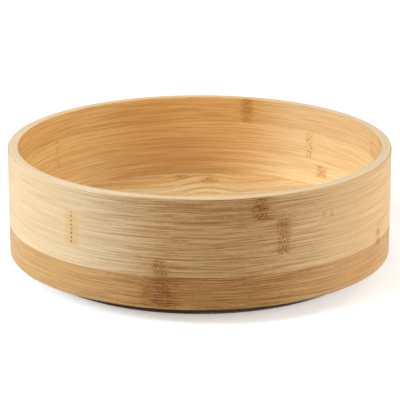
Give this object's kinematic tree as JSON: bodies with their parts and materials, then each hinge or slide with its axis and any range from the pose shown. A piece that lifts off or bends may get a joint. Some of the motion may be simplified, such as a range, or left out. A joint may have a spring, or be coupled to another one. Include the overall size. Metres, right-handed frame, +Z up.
{
  "type": "lazy susan turntable",
  "caption": "Round bamboo tray with a tall straight wall that turns freely on a low dark round base through a flat ball bearing, for jars and bottles.",
  "frame": {"origin": "on the table under the middle of the base, at the underside of the feet, on the spin axis", "axes": "+Z up along the spin axis, towards the tray's open mouth; +X towards the access hole and the first foot"},
  "size_m": [0.28, 0.28, 0.09],
  "materials": {
    "bamboo_wall": "satin lacquered bent bamboo",
    "bamboo_floor": "satin lacquered bamboo board",
    "lacquered_board": "dark lacquer, satin",
    "zinc_steel": "zinc plated pressed sheet",
    "screw_steel": "zinc plated",
    "rivet_steel": "plain, turned",
    "ball_steel": "polished",
    "nylon": "natural nylon, matt",
    "foot_rubber": "matt rubber"
  },
  "bodies": {
    "base": {"base_disc": "lacquered_board", "bearing_lower_plate": "zinc_steel", "lower_plate_screws": "screw_steel", "pivot_rivet": "rivet_steel", "pivot_bush": "nylon", "pivot_washer": "nylon", "rubber_foot_1": "foot_rubber", "rubber_foot_2": "foot_rubber", "rubber_foot_3": "foot_rubber", "rubber_foot_4": "foot_rubber", "rubber_foot_5": "foot_rubber", "rubber_foot_6": "foot_rubber", "foot_screws": "screw_steel"},
    "cage": {"ball_cage": "nylon", "ball_01": "ball_steel", "ball_02": "ball_steel", "ball_03": "ball_steel", "ball_04": "ball_steel", "ball_05": "ball_steel", "ball_06": "ball_steel", "ball_07": "ball_steel", "ball_08": "ball_steel", "ball_09": "ball_steel", "ball_10": "ball_steel", "ball_11": "ball_steel", "ball_12": "ball_steel", "ball_13": "ball_steel", "ball_14": "ball_steel", "ball_15": "ball_steel", "ball_16": "ball_steel", "ball_17": "ball_steel", "ball_18": "ball_steel", "ball_19": "ball_steel", "ball_20": "ball_steel", "ball_21": "ball_steel", "ball_22": "ball_steel", "ball_23": "ball_steel", "ball_24": "ball_steel"},
    "tray": {"wall_outer_ply": "bamboo_wall", "wall_inner_ply": "bamboo_wall", "tray_floor": "bamboo_floor", "bearing_upper_plate": "zinc_steel", "upper_plate_screws": "screw_steel"}
  },
  "joints": [
    {"name": "tray_spin", "type": "hinge", "parent": "base", "child": "tray", "pos_m": [0, 0, 0.0155], "axis": [0, 0, 1], "continuous": true},
    {"name": "cage_spin", "type": "hinge", "parent": "base", "child": "cage", "pos_m": [0, 0, 0.0155], "axis": [0, 0, 1], "continuous": true}
  ],
  "couplings": [
    {"joint": "cage_spin", "follows": "tray_spin", "ratio": 0.5}
  ]
}
